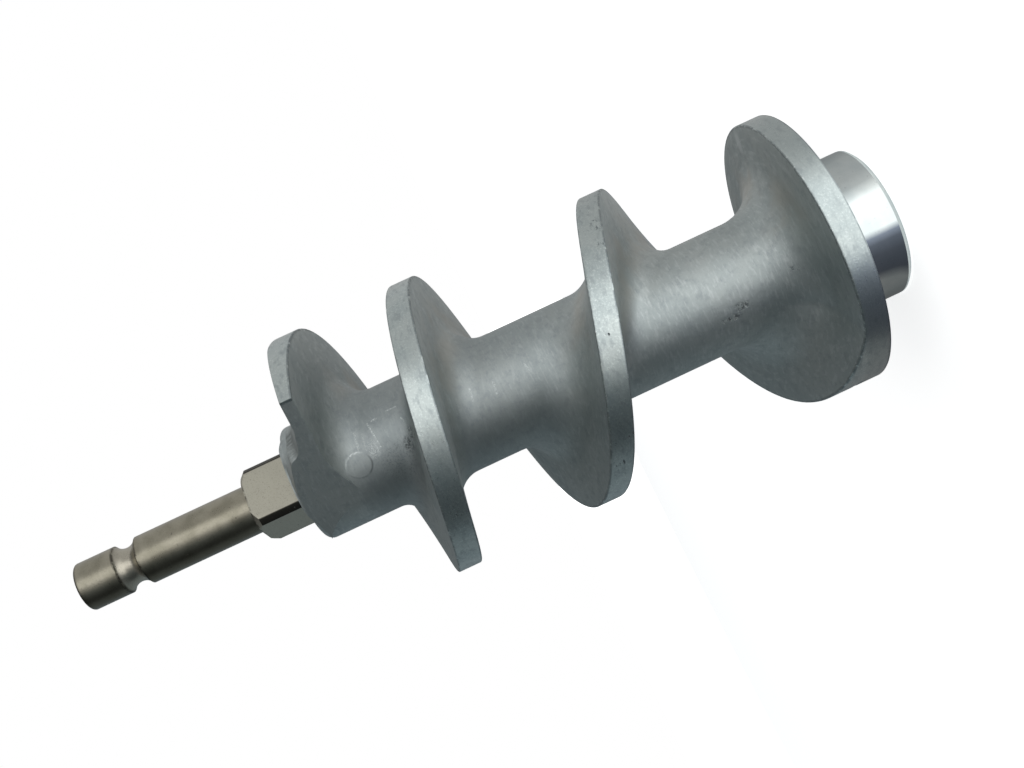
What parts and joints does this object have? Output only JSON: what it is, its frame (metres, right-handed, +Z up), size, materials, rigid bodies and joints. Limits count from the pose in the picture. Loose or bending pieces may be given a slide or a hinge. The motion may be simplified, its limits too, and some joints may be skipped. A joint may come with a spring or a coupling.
{
  "type": "meat grinder auger",
  "caption": "Cast feed screw of a meat grinder: left-handed flight of falling pitch on a round core, rear journal with a drive socket, and a steel knife spindle.",
  "frame": {"origin": "centre of the drive end's face, on the axis", "axes": "+Z up the axis from the drive end to the tip of the knife spindle; +X through the angle from which the flight is counted"},
  "size_m": [0.066, 0.066, 0.1995],
  "materials": {
    "cast_body": "tumbled as-cast, satin",
    "spindle_steel": "fine turned"
  },
  "bodies": {
    "root": {"auger_body": "cast_body", "knife_spindle": "spindle_steel"}
  },
  "joints": []
}
